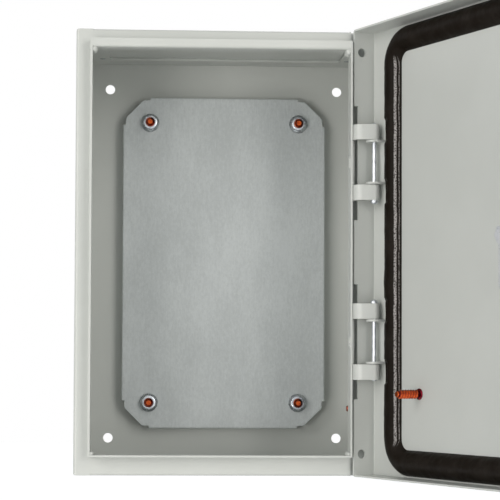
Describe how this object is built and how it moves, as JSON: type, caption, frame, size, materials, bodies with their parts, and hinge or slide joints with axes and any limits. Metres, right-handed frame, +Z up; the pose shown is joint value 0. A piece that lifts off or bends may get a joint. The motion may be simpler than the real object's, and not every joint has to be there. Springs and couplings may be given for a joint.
{
  "type": "wall enclosure",
  "caption": "Small painted sheet-steel wall enclosure with a hinged gasketed door, a mounting plate on studs, a gland plate and a quarter-turn lock.",
  "frame": {"origin": "centre of the four wall-fixing holes, on the cabinet's rear face", "axes": "+X to the hinge side, +Y into the wall, +Z up"},
  "size_m": [0.2936, 0.325, 0.3042],
  "materials": {
    "grey_paint": "satin powder coat",
    "galvanised_steel": "spangle-free zinc, fine vertical grain",
    "zinc_plate": "bright zinc",
    "copper_plate": "copper-plated thread",
    "foam": "smooth skin",
    "black_rubber": "matt",
    "grey_foam": "thin closed-cell strip"
  },
  "bodies": {
    "cabinet": {"body_wrap": "grey_paint", "top_panel": "grey_paint", "bottom_panel": "grey_paint", "gland_plate": "grey_paint", "gland_gasket": "grey_foam", "gland_screws": "zinc_plate", "mounting_plate": "galvanised_steel", "plate_studs": "copper_plate", "plate_nuts": "zinc_plate", "body_earth_stud": "copper_plate", "upper_body_hinge": "grey_paint", "lower_body_hinge": "grey_paint", "upper_hinge_pin": "zinc_plate", "lower_hinge_pin": "zinc_plate"},
    "door": {"door_panel": "grey_paint", "door_gasket": "foam", "upper_door_hinge": "grey_paint", "lower_door_hinge": "grey_paint", "door_earth_stud": "copper_plate", "lock_housing": "zinc_plate", "lock_seal": "black_rubber", "lock_nut": "zinc_plate"},
    "lock_core": {"lock_rotor": "zinc_plate", "lock_cam": "zinc_plate", "cam_screw": "zinc_plate"}
  },
  "joints": [
    {"name": "door_hinge", "type": "hinge", "parent": "cabinet", "child": "door", "pos_m": [0.095, -0.1408, 0], "axis": [0, 0, 1], "range_deg": [-116, 0]},
    {"name": "lock_turn", "type": "hinge", "parent": "door", "child": "lock_core", "pos_m": [0.15478, -0.29188, 0], "axis": [0.8988, 0.4384, 0], "range_deg": [-90, 0]}
  ]
}
